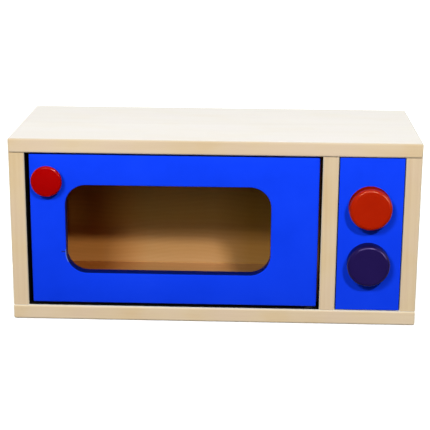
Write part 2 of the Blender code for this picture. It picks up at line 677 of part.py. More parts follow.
def make_control_panel(finishes):
    panel = board("control_panel", (PANEL_LEFT, PANEL_FRONT, PANEL_BOTTOM),
                  (PANEL_RIGHT, PANEL_REAR, PANEL_TOP), finishes["blue_paint"], PANEL_EASE, "XYZ")
    cleat_front = PANEL_REAR + SEAT_GAP
    cleat_rear = cleat_front + CLEAT_DEPTH
    cleat_bottom = FLOOR + CLEAT_END_GAP
    cleat_top = CEILING - CLEAT_END_GAP
    reach_in_panel = PANEL_THICKNESS * PANEL_SCREW_SHARE
    sizes = (PANEL_SCREW_DIAMETER, PANEL_SCREW_HEAD_DIAMETER, CLEAT_DEPTH + SEAT_GAP + reach_in_panel)
    screw = turned_mesh("panel_screw", screw_profile(*sizes), FIXING_SIDES)
    hole = turned_mesh("panel_screw_hole", screw_hole_profile(*sizes), FIXING_SIDES)
    all_spots = []
    outer_faces = {"left_panel_cleat": DIVIDER_RIGHT + SEAT_GAP,
                   "right_panel_cleat": SIDE_INNER - SEAT_GAP - CLEAT_WIDTH}
    for name, left in outer_faces.items():
        cleat = board(name, (left, cleat_front, cleat_bottom), (left + CLEAT_WIDTH, cleat_rear, cleat_top),
                      finishes["birch"], CLEAT_EASE, "Z")
        spots = {"lower": (left + CLEAT_WIDTH / 2, cleat_rear, cleat_bottom + PANEL_SCREW_INSET),
                 "upper": (left + CLEAT_WIDTH / 2, cleat_rear, cleat_top - PANEL_SCREW_INSET)}
        all_spots += spots.values()
        cut_name = name + "_screw_cut"
        cut(cleat, cut_name, copies_mesh(cut_name, hole, spots.values(), FACE_FRONT))
        for end, spot in spots.items():
            place(name.replace("cleat", end + "_screw"), screw, finishes["steel"], spot, FACE_FRONT)
    cut(panel, "panel_screw_cut", copies_mesh("panel_screw_cut", hole, all_spots, FACE_FRONT))
    return panel


def dial_mesh(name):
    """A thick turned disc with a crisp front rim, a softer rear edge and a blind hole for its axle."""
    radius = DIAL_DIAMETER / 2
    hole = AXLE_DIAMETER / 2 + SEAT_GAP
    hole_depth = DIAL_THICKNESS * AXLE_DIAL_SHARE + SEAT_GAP
    profile = [(0, hole_depth), (hole, hole_depth), (hole, 0)]
    profile += arc((radius - DIAL_REAR_ROUND, DIAL_REAR_ROUND), DIAL_REAR_ROUND, -90, 0, EASE_STEPS)
    profile += arc((radius - DIAL_FRONT_ROUND, DIAL_THICKNESS - DIAL_FRONT_ROUND), DIAL_FRONT_ROUND,
                   0, 90, EASE_STEPS)
    return turned_mesh(name, profile, DIAL_SIDES)


def nut_mesh(name, bore_radius):
    """A hexagonal nut about Z, with its corners on every fourth point of the ring."""
    across = LOCK_NUT_WIDTH / 2
    bm = bmesh.new()
    rows = []
    for height in (0, LOCK_NUT_THICKNESS):
        outer = []
        inner = []
        for side in range(NUT_SIDES):
            angle = 2 * math.pi * side / NUT_SIDES
            from_flat = (angle % math.radians(60)) - math.radians(30)
            direction = Vector((math.cos(angle), math.sin(angle), 0))
            lift = Vector((0, 0, height))
            outer.append(bm.verts.new(direction * (across / math.cos(from_flat)) + lift))
            inner.append(bm.verts.new(direction * bore_radius + lift))
        rows.append((inner, outer))
    (low_inner, low_outer), (high_inner, high_outer) = rows
    around = [low_inner, low_outer, high_outer, high_inner]
    for index, row in enumerate(around):
        next_row = around[(index + 1) % len(around)]
        for side in range(NUT_SIDES):
            following = (side + 1) % NUT_SIDES
            bm.faces.new((row[side], row[following], next_row[following], next_row[side]))
    return mesh_from(bm, name)


def make_dial(finishes, level, height_share, paint, panel):
    """One dial with its axle, washers, lock nut and the bush that it turns in."""
    height = PANEL_BOTTOM + (PANEL_TOP - PANEL_BOTTOM) * height_share
    name = level + "_dial"
    axis = axis_empty(name + "_axis", (DIAL_X, PANEL_FRONT, height))
    bore = bored_radius(AXLE_DIAMETER / 2)
    bush_outer = bore + DIAL_BUSH_WALL

    place(name, dial_mesh(name), paint, (DIAL_X, DIAL_REAR, height), FACE_FRONT, axis)

    felt = turned_mesh(name + "_felt_washer",
                       tube_profile(bore, FELT_WASHER_DIAMETER / 2, FELT_WASHER_THICKNESS),
                       SHAFT_SIDES, True)
    place(name + "_felt_washer", felt, finishes["felt"], (DIAL_X, PANEL_FRONT - SEAT_GAP, height),
          FACE_FRONT, axis)

    bush = turned_mesh(name + "_bush", tube_profile(bore, bush_outer, PANEL_THICKNESS), SHAFT_SIDES, True)
    place(name + "_bush", bush, finishes["nylon"], (DIAL_X, PANEL_REAR, height), FACE_FRONT)
    seat_radius = bush_outer + SEAT_GAP
    seat_length = PANEL_THICKNESS + 2 * CUT_OVERRUN
    seat = turned_mesh(name + "_bush_cut", [(seat_radius, 0), (seat_radius, seat_length)], SHAFT_SIDES)
    cut(panel, name + "_bush_cut", seat, (DIAL_X, PANEL_REAR + CUT_OVERRUN, height), FACE_FRONT)

    washer_front = PANEL_REAR + SEAT_GAP
    washer = turned_mesh(name + "_rear_washer",
                         tube_profile(bore, REAR_WASHER_DIAMETER / 2, REAR_WASHER_THICKNESS),
                         SHAFT_SIDES, True)
    place(name + "_rear_washer", washer, finishes["steel"], (DIAL_X, washer_front, height), FACE_REAR, axis)

    nut_front = washer_front + REAR_WASHER_THICKNESS + SEAT_GAP
    nut = nut_mesh(name + "_lock_nut", AXLE_DIAMETER / 2 + SEAT_GAP)
    place(name + "_lock_nut", nut, finishes["steel"], (DIAL_X, nut_front, height), FACE_REAR, axis)

    axle_front = DIAL_REAR - DIAL_THICKNESS * AXLE_DIAL_SHARE
    axle_rear = nut_front + LOCK_NUT_THICKNESS + AXLE_END
    axle = turned_mesh(name + "_axle", pin_profile(AXLE_DIAMETER, axle_rear - axle_front, AXLE_CHAMFER),
                       SHAFT_SIDES)
    place(name + "_axle", axle, finishes["steel"], (DIAL_X, axle_rear, height), FACE_FRONT, axis)


def main():
    clear_scene()
    finishes = make_finishes()
    uprights = make_case(finishes)
    add_catch(finishes, uprights["left_side_board"])
    make_door(finishes)
    panel = make_control_panel(finishes)
    make_dial(finishes, "upper", UPPER_DIAL_HEIGHT_SHARE, finishes["orange_red_paint"], panel)
    make_dial(finishes, "lower", LOWER_DIAL_HEIGHT_SHARE, finishes["purple_paint"], panel)


main()
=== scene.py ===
import json
import math

import bmesh
import bpy
from mathutils import Matrix, Vector


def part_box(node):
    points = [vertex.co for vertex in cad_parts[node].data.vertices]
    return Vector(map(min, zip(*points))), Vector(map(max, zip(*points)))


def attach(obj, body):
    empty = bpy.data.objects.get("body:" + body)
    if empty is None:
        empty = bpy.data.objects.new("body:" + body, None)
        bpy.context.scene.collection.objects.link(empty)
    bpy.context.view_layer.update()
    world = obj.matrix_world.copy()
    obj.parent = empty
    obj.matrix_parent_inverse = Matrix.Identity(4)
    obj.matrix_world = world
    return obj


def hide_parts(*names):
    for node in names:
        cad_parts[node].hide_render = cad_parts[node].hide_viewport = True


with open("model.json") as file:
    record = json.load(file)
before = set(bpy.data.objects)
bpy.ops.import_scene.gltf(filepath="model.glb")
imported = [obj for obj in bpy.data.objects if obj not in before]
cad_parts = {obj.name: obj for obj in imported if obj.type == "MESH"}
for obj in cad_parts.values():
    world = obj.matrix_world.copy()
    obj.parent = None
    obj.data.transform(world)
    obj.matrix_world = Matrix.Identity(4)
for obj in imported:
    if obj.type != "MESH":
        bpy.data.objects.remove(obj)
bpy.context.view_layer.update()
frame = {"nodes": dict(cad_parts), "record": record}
nodes = frame["nodes"]
scene = bpy.context.scene


# Material tools

WHITE = (1.0, 1.0, 1.0)


def grey(value):
    return (value, value, value)


def new_material(name):
    material = bpy.data.materials.new(name)
    material.use_nodes = True
    return material, material.node_tree, material.node_tree.nodes["Principled BSDF"]


def put(tree, socket, value):
    """Links a socket to another one, or sets its value."""
    if isinstance(value, bpy.types.NodeSocket):
        tree.links.new(value, socket)
    elif socket.type == "RGBA" and len(value) == 3:
        socket.default_value = (*value, 1.0)
    else:
        socket.default_value = value


def put_all(tree, node, inputs):
    for key, value in inputs.items():
        put(tree, node.inputs[key], value)


def add(tree, kind, inputs, **settings):
    node = tree.nodes.new("ShaderNode" + kind)
    for key, value in settings.items():
        setattr(node, key, value)
    put_all(tree, node, inputs)
    return node


def maths(tree, operation, first, second=0.0, clamp=False):
    node = add(tree, "Math", {0: first, 1: second}, operation=operation, use_clamp=clamp)
    return node.outputs[0]


def plus(tree, first, second):
    return maths(tree, "ADD", first, second)


def times(tree, first, second):
    return maths(tree, "MULTIPLY", first, second)


def mingled(tree, first, second, share):
    """A mix of two values that holds a share of the first one."""
    return plus(tree, times(tree, first, share), times(tree, second, 1.0 - share))


def around(tree, middle, texture, reach):
    """A value that a texture from 0 to 1 moves about its middle, by reach in all."""
    return plus(tree, times(tree, texture, reach), middle - reach / 2)


def blend_colours(tree, factor, first, second, how="MIX"):
    node = add(tree, "Mix", {0: factor, 6: first, 7: second}, data_type="RGBA", blend_type=how)
    return node.outputs[2]


def tinted(tree, colour, tint):
    return blend_colours(tree, 1.0, colour, tint, "MULTIPLY")


def ramp(tree, factor, stops):
    """A colour ramp through (position, colour) stops."""
    node = add(tree, "ValToRGB", {0: factor})
    elements = node.color_ramp.elements
    while len(elements) < len(stops):
        elements.new(0.5)
    for element, (position, colour) in zip(elements, stops):
        element.position = position
        element.color = (*colour, 1.0)
    return node.outputs[0]


def spread(tree, value, low, high, to_low=0.0, to_high=1.0):
    """Carries a value from one range over to another, smoothly and never past its ends."""
    node = add(tree, "MapRange", {0: value, 1: low, 2: high, 3: to_low, 4: to_high},
               interpolation_type="SMOOTHSTEP")
    return node.outputs[0]


def noise(tree, vector, scale, detail, roughness, distortion=0.0):
    node = add(tree, "TexNoise", {"Vector": vector, "Scale": scale, "Detail": detail,
                                  "Roughness": roughness, "Distortion": distortion})
    return node.outputs["Fac"]


def place_vector(tree, shift=(0, 0, 0), stretch=(1, 1, 1)):
    """Places in the part's own frame, moved and stretched."""
    coords = add(tree, "TexCoord", {})
    mapping = add(tree, "Mapping", {"Vector": coords.outputs["Object"], "Location": shift,
                                    "Scale": stretch})
    return mapping.outputs[0]


def parts_of(tree, output):
    """X, Y and Z of a texture coordinate: Object for the place, Normal for where a face looks."""
    coords = add(tree, "TexCoord", {})
    return add(tree, "SeparateXYZ", {0: coords.outputs[output]}).outputs


BOX_EDGE = 0.0004                   # half the width of a marked box's soft edge


def inside_box(tree, parts, box):
    """One where a place is inside a box of (low, high) pairs, and zero outside."""
    inside = None
    for part, (low, high) in zip(parts, box):
        above = spread(tree, part, low - BOX_EDGE, low + BOX_EDGE)
        below = spread(tree, part, high - BOX_EDGE, high + BOX_EDGE, 1.0, 0.0)
        here = times(tree, above, below)
        inside = here if inside is None else times(tree, inside, here)
    return inside


def add_bump(tree, shader, height, strength, distance):
    bump = add(tree, "Bump", {"Height": height, "Strength": strength, "Distance": distance})
    put(tree, shader.inputs["Normal"], bump.outputs[0])


# Wood

# Colours from the darkest to the palest, at these values of the grain's tone: the edges of the
# boards and those of the level ones, the broad faces of the level boards, paler partly as a
# painted sheen, and of the upright boards, the plywood, and all wood in the oven space, which is
# darker and browner as painted shade
TONE_PLACES = (0.30, 0.50, 0.70)
EDGE_TONES = ((0.630, 0.465, 0.282), (0.692, 0.537, 0.342), (0.738, 0.596, 0.398))
LEVEL_TONES = ((0.645, 0.482, 0.305), (0.708, 0.556, 0.370), (0.752, 0.614, 0.428))
# Paler partly as face veneer and partly as a painted sheen that makes the top nearly white
VENEER_AND_SHEEN_TONES = ((0.755, 0.700, 0.610), (0.800, 0.757, 0.682), (0.835, 0.800, 0.735))
SIDE_TONES = ((0.715, 0.605, 0.440), (0.765, 0.665, 0.505), (0.805, 0.720, 0.570))
PLY_TONES = ((0.560, 0.420, 0.255), (0.630, 0.490, 0.315), (0.690, 0.555, 0.375))
OVEN_SHADE_TONES = ((0.330, 0.152, 0.044), (0.385, 0.193, 0.064), (0.440, 0.240, 0.088))
# Sanded edges: paler wood with a painted highlight, and a darker one for the top board's edges that
# look up
SANDED_AND_HIGHLIT_EDGE = (0.800, 0.715, 0.520)
TOP_RIM_SANDED_AND_HIGHLIT = (0.640, 0.560, 0.450)
# Near black painted shade of the strip behind the gap round the door
GAP_SHADE_COLOUR = (0.010, 0.009, 0.010)

# Tints of the painted shade and bounce light in the oven space, at shares of its width (across)
# and of its height (upwards)
OVEN_SHADE_ACROSS = ((0.19, (1.15, 0.88, 0.54)), (0.38, (1.07, 1.13, 1.18)),
                (0.62, (1.12, 1.19, 1.28)), (0.76, (0.86, 0.83, 0.54)))
FLOOR_SHADE_ACROSS = ((0.19, (0.84, 0.45, 0.17)), (0.38, (0.99, 0.97, 1.00)),
               (0.62, (1.16, 1.12, 1.26)), (0.76, (0.80, 0.76, 0.78)))
OVEN_SHADE_UPWARD = ((0.00, (1.16, 1.16, 1.14)), (0.02, (1.13, 1.20, 1.38)),
                (0.09, (1.03, 1.05, 1.09)), (0.20, (1.00, 1.00, 1.00)),
                (0.34, (1.13, 1.26, 0.86)))

# Noise drawn out along the grain: scale across it and along it, detail, roughness, distortion
FIBRES = (1500.0, 38.0, 3.0, 0.65)
STREAKS = (260.0, 5.0, 3.0, 0.6, 0.4)
FIGURE = (46.0, 2.2, 2.0, 0.5, 0.8)
CLOUDS = (14.0, 5.0, 2.0, 0.5)
BLOTCHES = (30.0, 17.0, 2.0, 0.5)
WANDER_SCALE = 9.0                  # how soon the grain lines wander, across the board
WANDER_DETAIL = (1.0, 0.5)

# Weights in the grain's tone
FIBRE_WEIGHT = 0.16
STREAK_WEIGHT = 0.20
FIGURE_WEIGHT = 0.22
CLOUD_WEIGHT = 0.26
STAVE_WEIGHT = 0.11
TONE_LIFT = 0.025

SEED_SHIFT = (1.37, 2.11, 0.73)     # so that no two boards share their noise
SEED_STAVE = 3.7
STAVE_START = 0.011                 # a joint between glued staves lies this far left of zero
RING_SLANT = 0.35                   # how far the rings lean through the board's thickness

BLUSH = ((0.34, (0.985, 0.955, 0.870)), (0.47, (1.0, 1.0, 0.99)), (0.64, (1.0, 0.995, 1.045)))
FACE_BLUSH = 0.3
END_SHADE = (0.86, 0.80, 0.72)
END_SHARE = 0.75
EDGE_HIGHLIGHT_SHARE = 0.8

# How far a normal leans to an axis where an effect changes. A sanded edge, paler and with a painted
# highlight, leans to none.
BROAD_FACE = (0.80, 0.97)
END_FACE = (0.75, 0.97)
HIGHLIT_EDGE_LEAN = (0.80, 0.96)
UPWARD_HIGHLIT_EDGE = (0.05, 0.60)

LACQUERED_SHINE = 0.5
BARE_SHINE = 0.2
LACQUER_ROUGHNESS = 0.22
ROUGHNESS_REACH = 0.16
END_ROUGHNESS = 0.15                # added on end grain
FIBRE_SHARE = 0.6                   # of the relief; streaks make the rest
WOOD_RELIEF = (0.35, 0.00012)       # strength and distance


def wood(name, along, seed, face=None, tones=EDGE_TONES, face_tones=VENEER_AND_SHEEN_TONES, rim=None,
         stave=0.046, calm=1.0, lines=0.05, bend=0.05, wave=1.6, ring=0.0055, roughness=0.42,
         lacquer=0.45, inner=None, shade_across=OVEN_SHADE_ACROSS, gap_shade=None):
    """Lacquered birch. Its grain runs along one axis.

    face is the axis along which the broad faces look, paler partly as a painted sheen, and rim
    the colour of the sanded edges that look up, which are paler and carry a painted highlight.
    stave is the width of the glued strips, and calm, under one, makes the broad bands weaker.
    lines is the strength of the grain lines, ring the distance between them, bend how far they
    wander, and wave how soon along the board. inner is the box of the oven space, whose wood is
    darker and browner as painted shade, with shade_across its tints from left to right.
    gap_shade is the box of the matte, near black strip of painted shade behind the gap round the
    door."""
    material, tree, shader = new_material(name)
    axis = "XYZ".index(along)
    across, through = (index for index in range(3) if index != axis)
    parts = parts_of(tree, "Object")
    normals = parts_of(tree, "Normal")
    leans = [maths(tree, "ABSOLUTE", normals[index]) for index in range(3)]
    shift = [seed * step for step in SEED_SHIFT]

    def streaks(fine, length, *settings):
        stretch = [fine] * 3
        stretch[axis] = length
        return noise(tree, place_vector(tree, shift, stretch), 1.0, *settings)

    def grain_lines():
        """Waves across the board, from 0 to 1, that wander along it."""
        place = plus(tree, parts[across], times(tree, parts[through], RING_SLANT))
        wander = times(tree, streaks(WANDER_SCALE, wave, *WANDER_DETAIL), bend)
        place = plus(tree, place, wander)
        waves = maths(tree, "SINE", times(tree, place, 2 * math.pi / ring))
        return times(tree, plus(tree, waves, 1.0), 0.5)

    def stave_tones():
        """One value from 0 to 1 for each stave."""
        number = maths(tree, "DIVIDE", plus(tree, parts[across], STAVE_START), stave)
        number = maths(tree, "FLOOR", number)
        return add(tree, "TexWhiteNoise", {"W": plus(tree, number, seed * SEED_STAVE)},
                   noise_dimensions="1D").outputs["Value"]

    fibres, streak, figure = streaks(*FIBRES), streaks(*STREAKS), streaks(*FIGURE)
    bands = ((streak, STREAK_WEIGHT), (figure, FIGURE_WEIGHT), (streaks(*CLOUDS), CLOUD_WEIGHT),
             (stave_tones(), STAVE_WEIGHT))
    tone = times(tree, fibres, FIBRE_WEIGHT)
    for band, weight in bands:
        tone = plus(tree, tone, times(tree, band, weight * calm))
        tone = plus(tree, tone, weight * (1.0 - calm) * 0.5)
    swing = maths(tree, "SUBTRACT", grain_lines(), 0.5)
    tone = plus(tree, tone, times(tree, swing, times(tree, figure, 2 * lines)))
    tone = plus(tree, tone, TONE_LIFT)

    def toned(colours):
        return ramp(tree, tone, tuple(zip(TONE_PLACES, colours)))

    def oven_shade_colour():
        """Painted shade and bounce light of the oven space: its wood darker and browner, with
        changes of tint from left to right and upwards.
        """
        colour = toned(OVEN_SHADE_TONES)
        for index, tints in ((0, shade_across), (2, OVEN_SHADE_UPWARD)):
            start, end = inner[index]
            share = maths(tree, "SUBTRACT", parts[index], start)
            share = maths(tree, "DIVIDE", share, end - start)
            colour = tinted(tree, colour, ramp(tree, share, tints))
        return colour

    blush = ramp(tree, streaks(*BLOTCHES), BLUSH)
    colour = tinted(tree, toned(tones), blush)
    # Broad faces: paler wood with a painted sheen
    if face:
        face_colour = blend_colours(tree, FACE_BLUSH, toned(face_tones), blush, "MULTIPLY")
        broad = spread(tree, leans["XYZ".index(face)], *BROAD_FACE)
        colour = blend_colours(tree, broad, colour, face_colour)
    end_grain = spread(tree, leans[axis], *END_FACE)
    end_tint = blend_colours(tree, times(tree, end_grain, END_SHARE), WHITE, END_SHADE)
    colour = tinted(tree, colour, end_tint)
    # Sanded edges: paler wood with a painted highlight
    most = maths(tree, "MAXIMUM", maths(tree, "MAXIMUM", leans[0], leans[1]), leans[2])
    sanded_and_highlit = spread(tree, most, *HIGHLIT_EDGE_LEAN, 1.0, 0.0)
    highlit_rim_colour = SANDED_AND_HIGHLIT_EDGE
    if rim:
        upward = spread(tree, normals[2], *UPWARD_HIGHLIT_EDGE)
        highlit_rim_colour = blend_colours(tree, upward, SANDED_AND_HIGHLIT_EDGE, rim)
    colour = blend_colours(tree, times(tree, sanded_and_highlit, EDGE_HIGHLIGHT_SHARE), colour, highlit_rim_colour)
    # Painted shade and bounce light inside the oven space
    if inner:
        colour = blend_colours(tree, inside_box(tree, parts, inner), colour, oven_shade_colour())

    rough = around(tree, roughness, streak, ROUGHNESS_REACH)
    rough = plus(tree, rough, times(tree, end_grain, END_ROUGHNESS))
    shine = LACQUERED_SHINE if lacquer else BARE_SHINE
    coat = lacquer
    # Painted shade: a dull, near black strip behind the gap round the door
    if gap_shade:
        gap_shade_here = inside_box(tree, parts, gap_shade)
        outside_gap_shade = maths(tree, "SUBTRACT", 1.0, gap_shade_here)
        colour = blend_colours(tree, gap_shade_here, colour, GAP_SHADE_COLOUR)
        rough = maths(tree, "MAXIMUM", rough, gap_shade_here)
        shine = times(tree, outside_gap_shade, shine)
        coat = times(tree, outside_gap_shade, coat)
    put_all(tree, shader, {"Base Color": colour, "Roughness": rough, "Specular IOR Level": shine,
                           "Coat Weight": coat, "Coat Roughness": LACQUER_ROUGHNESS})
    add_bump(tree, shader, mingled(tree, fibres, streak, FIBRE_SHARE), *WOOD_RELIEF)
    return material


# Paint, metal, plastic and felt. Noise is given as scale, detail and roughness.

PAINT_PATCHES = (16.0, 3.0, 0.55)
PAINT_FINE = (2300.0, 2.0, 0.6)
PEEL_DETAIL = (2.0, 0.5)
PATCH_SHARE = 0.8                   # of the tone; the fine noise makes the rest
PEEL_SHARE = 0.8                    # of the relief, likewise
SHADE_PLACES = (0.25, 0.50, 0.75)
PAINT_REACH = 0.10                  # change of roughness
PAINT_RELIEF = (0.30, 0.00005)      # strength and distance

# How far a face looks to the front or back, from where an effect starts to where it is full
FRONT_OR_BACK_FACE = (0.25, 0.75)
SHINY_FACE = (0.05, 0.45)
HIGHLIGHT_START = (0.35, 0.55)
HIGHLIGHT_END = (0.93, 0.995)             # and where the painted highlight has faded out again
EDGE_HIGHLIGHT_COLOUR = (0.110, 0.190, 0.620)
NICK_COLOUR = (0.014, 0.022, 0.200)


def paint(name, shades, roughness, shine, tint, speckle=260.0, edge=None, dull_sides=None,
          highlight_and_nick=None, falloff_shade=None):
    """Paint on wood: a slightly uneven coat with a faint orange-peel surface.

    shades run from dark to light. edge is the colour of the faces that look away from the front
    and back, and dull_sides is their weaker shine. highlight_and_nick is a pair of boxes, a
    painted highlight on an eased edge and a dark nick beside it. falloff_shade is painted shade
    that darkens the front towards its foot: the share of the brightness left at the foot of the
    front, with the heights between which it changes."""
    material, tree, shader = new_material(name)
    vector = place_vector(tree)
    patches = noise(tree, vector, *PAINT_PATCHES)
    peel = noise(tree, vector, speckle, *PEEL_DETAIL)
    fine = noise(tree, vector, *PAINT_FINE)
    facing = maths(tree, "ABSOLUTE", parts_of(tree, "Normal")[1])

    tone = mingled(tree, patches, fine, PATCH_SHARE)
    colour = ramp(tree, tone, tuple(zip(SHADE_PLACES, shades)))
    # Painted shade: darker towards the foot of the front
    if falloff_shade:
        share, foot, head = falloff_shade
        left = spread(tree, parts_of(tree, "Object")[2], foot, head, share)
        left = add(tree, "CombineXYZ", {0: left, 1: left, 2: left}).outputs[0]
        colour = tinted(tree, colour, left)
    if edge:
        colour = blend_colours(tree, spread(tree, facing, *FRONT_OR_BACK_FACE), edge, colour)
    # A painted highlight along the eased edge, and a dark nick beside it
    if highlight_and_nick:
        highlight_box, nick = highlight_and_nick
        parts = parts_of(tree, "Object")
        eased = times(tree, spread(tree, facing, *HIGHLIGHT_START),
                      spread(tree, facing, *HIGHLIGHT_END, 1.0, 0.0))
        highlit = times(tree, inside_box(tree, parts, highlight_box), eased)
        colour = blend_colours(tree, highlit, colour, EDGE_HIGHLIGHT_COLOUR)
        colour = blend_colours(tree, inside_box(tree, parts, nick), colour, NICK_COLOUR)
    if dull_sides is not None:
        shine = spread(tree, facing, *SHINY_FACE, dull_sides, shine)
    put_all(tree, shader, {"Base Color": colour, "Specular IOR Level": shine,
                           "Specular Tint": tint,
                           "Roughness": around(tree, roughness, patches, PAINT_REACH)})
    add_bump(tree, shader, mingled(tree, peel, fine, PEEL_SHARE), *PAINT_RELIEF)
    return material


MOTTLE_PLACES = (0.35, 0.65)


def mottled(name, colour, roughness, stretch=(1, 1, 1), metallic=0.0, *, marks, patches, darkest,
            reach, relief):
    """A smooth material with slightly darker patches and fine marks. darkest is the share of the
    colour left in the patches, reach the change of roughness there, and relief the strength and
    distance of the marks, which run along a stretch."""
    material, tree, shader = new_material(name)
    marks = noise(tree, place_vector(tree, stretch=stretch), *marks)
    patches = noise(tree, place_vector(tree), *patches)
    dull = tuple(part * darkest for part in colour)
    shade = ramp(tree, patches, tuple(zip(MOTTLE_PLACES, (dull, colour))))
    put_all(tree, shader, {"Base Color": shade, "Metallic": metallic,
                           "Roughness": around(tree, roughness, patches, reach)})
    add_bump(tree, shader, marks, *relief)
    return material


def metal(name, colour, roughness, stretch, metallic=1.0):
    """Zinc or brass with turning marks. metallic is lower under a dull plating."""
    return mottled(name, colour, roughness, stretch, metallic, marks=(1.0, 3.0, 0.6),
                   patches=(700.0, 3.0, 0.6), darkest=0.72, reach=0.18, relief=(0.25, 0.00003))


def plastic(name, colour, roughness, grain=3200.0):
    return mottled(name, colour, roughness, marks=(grain, 2.0, 0.6), patches=(90.0, 2.0, 0.5),
                   darkest=0.88, reach=0.12, relief=(0.25, 0.00004))


FELT_TONES = ((0.3, (0.010, 0.010, 0.011)), (0.7, (0.05, 0.05, 0.055)))
FELT_FUZZ = (2600.0, 4.0, 0.75, 0.6)
FELT_TUFTS = (600.0, 3.0, 0.6)
FUZZ_SHARE = 0.6
FELT_RELIEF = (0.8, 0.0004)


def felt(name):
    material, tree, shader = new_material(name)
    fuzz = noise(tree, place_vector(tree), *FELT_FUZZ)
    tufts = noise(tree, place_vector(tree), *FELT_TUFTS)
    pile = mingled(tree, fuzz, tufts, FUZZ_SHARE)
    put_all(tree, shader, {"Base Color": ramp(tree, pile, FELT_TONES), "Roughness": 0.95,
                           "Sheen Weight": 0.4, "Sheen Roughness": 0.5})
    add_bump(tree, shader, pile, *FELT_RELIEF)
    return material


# Mesh tools

FACING_FRONT = Matrix.Rotation(math.radians(90), 4, "X")
FACING_REAR = Matrix.Rotation(math.radians(-90), 4, "X")
FACING_RIGHT = Matrix.Rotation(math.radians(90), 4, "Y")
FACING_DOWN = Matrix.Rotation(math.radians(180), 4, "X")

FLAT_SHARP = math.radians(35.0)     # edges from this angle on stay sharp on the door and screws
TURNED_SHARP = math.radians(40.0)   # and on the knob, the dials and the catch
OVERRUN = 0.002                     # how far a cutter stands out of the face that it cuts
FIT_GAP = 0.0003                    # room that a cut leaves round the piece inside it
KNOB_SIDES = 112
DIAL_SIDES = 144
SCREW_SIDES = 36
HOLE_SIDES = 48
SCREW_HOLE_SIDES = 40


def scene_object(bm, name):
    """An object of the scene with a bmesh's shape. The bmesh is freed."""
    mesh = bpy.data.meshes.new(name)
    bm.to_mesh(mesh)
    bm.free()
    obj = bpy.data.objects.new(name, mesh)
    scene.collection.objects.link(obj)
    return obj


def finished(bm, name, material, body, sharp):
    """A closed, smooth-shaded piece that rides on a body of the part."""
    bmesh.ops.recalc_face_normals(bm, faces=bm.faces)
    obj = scene_object(bm, name)
    obj.data.shade_smooth()
    obj.data.set_sharp_from_angle(angle=sharp)
    obj.data.materials.append(material)
    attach(obj, body)
    return obj


def arc(centre, radius, start, end, steps):
    """Points along an arc between two angles in degrees, ends included."""
    points = []
    for step in range(steps + 1):
        angle = math.radians(start + (end - start) * step / steps)
        points.append((centre[0] + radius * math.cos(angle), centre[1] + radius * math.sin(angle)))
    return points


def seat(node):
    """A matrix that puts a profile on a node's rear face, and the node's radius and depth."""
    low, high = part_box(node)
    centre = (low + high) / 2
    placing = Matrix.Translation((centre.x, high.y, centre.z)) @ FACING_FRONT
    return placing, (high.x - low.x) / 2, high.y - low.y


def skin(bm, first, second):
    """Faces between two rings of vertices. One of them may be a single vertex, a tip."""
    count = max(len(first), len(second))
    for spot in range(count):
        following = (spot + 1) % count
        corners = (first[spot % len(first)], first[following % len(first)],
                   second[following % len(second)], second[spot % len(second)])
        bm.faces.new(list(dict.fromkeys(corners)))


def turned(profile, sides, placing):
    """A profile of (radius, height) points turned about its height, put in place by a matrix."""
    bm = bmesh.new()
    rings = []
    for radius, height in profile:
        if radius == 0:
            rings.append([bm.verts.new(placing @ Vector((0, 0, height)))])
            continue
        angles = [2 * math.pi * side / sides for side in range(sides)]
        rings.append([bm.verts.new(placing @ Vector((radius * math.cos(angle),
                                                     radius * math.sin(angle), height)))
                      for angle in angles])
    for lower, upper in zip(rings, rings[1:]):
        skin(bm, lower, upper)
    for ring in (rings[0], rings[-1]):
        if len(ring) > 1:
            bm.faces.new(ring)
    return bm


def carve(target, cutters, sharp):
    """Takes cutter meshes away from an object for good."""
    for bm in cutters:
        bmesh.ops.recalc_face_normals(bm, faces=bm.faces)
        cutter = scene_object(bm, "cutter")
        modifier = target.modifiers.new("cut", "BOOLEAN")
        modifier.operation = "DIFFERENCE"
        modifier.solver = "EXACT"
        modifier.object = cutter
        bpy.context.view_layer.update()
        evaluated = target.evaluated_get(bpy.context.evaluated_depsgraph_get())
        carved = bpy.data.meshes.new_from_object(evaluated)
        target.modifiers.clear()
        target.data = carved
        bpy.data.objects.remove(cutter)
    target.data.set_sharp_from_angle(angle=sharp)


# Materials of the CAD nodes

oven_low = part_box("bottom_board")[1].z
oven_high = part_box("top_board")[0].z
door_low, door_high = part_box("door_panel")
divider_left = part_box("divider_board")[0].x
side_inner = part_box("left_side_board")[1].x

INTO_BOARDS = 0.0006                # how far the marked boxes reach into the boards
BEHIND_DOOR = 0.001                 # where the oven space's colour starts, behind the door
OVEN_END = 0.074                    # and where it ends, halfway through the plywood
GAP_SHADE_BEHIND_FRONT = 0.0020         # where the painted shade behind the door gap starts, behind the door's front
GAP_SHADE_BEHIND_DOOR = 0.0135          # and how far it goes on behind the door
oven_space = ((side_inner - INTO_BOARDS, divider_left + INTO_BOARDS),
              (door_high.y + BEHIND_DOOR, OVEN_END),
              (oven_low - INTO_BOARDS, oven_high + INTO_BOARDS))
door_gap = (oven_space[0],
            (door_low.y + GAP_SHADE_BEHIND_FRONT, door_high.y + GAP_SHADE_BEHIND_DOOR),
            oven_space[2])

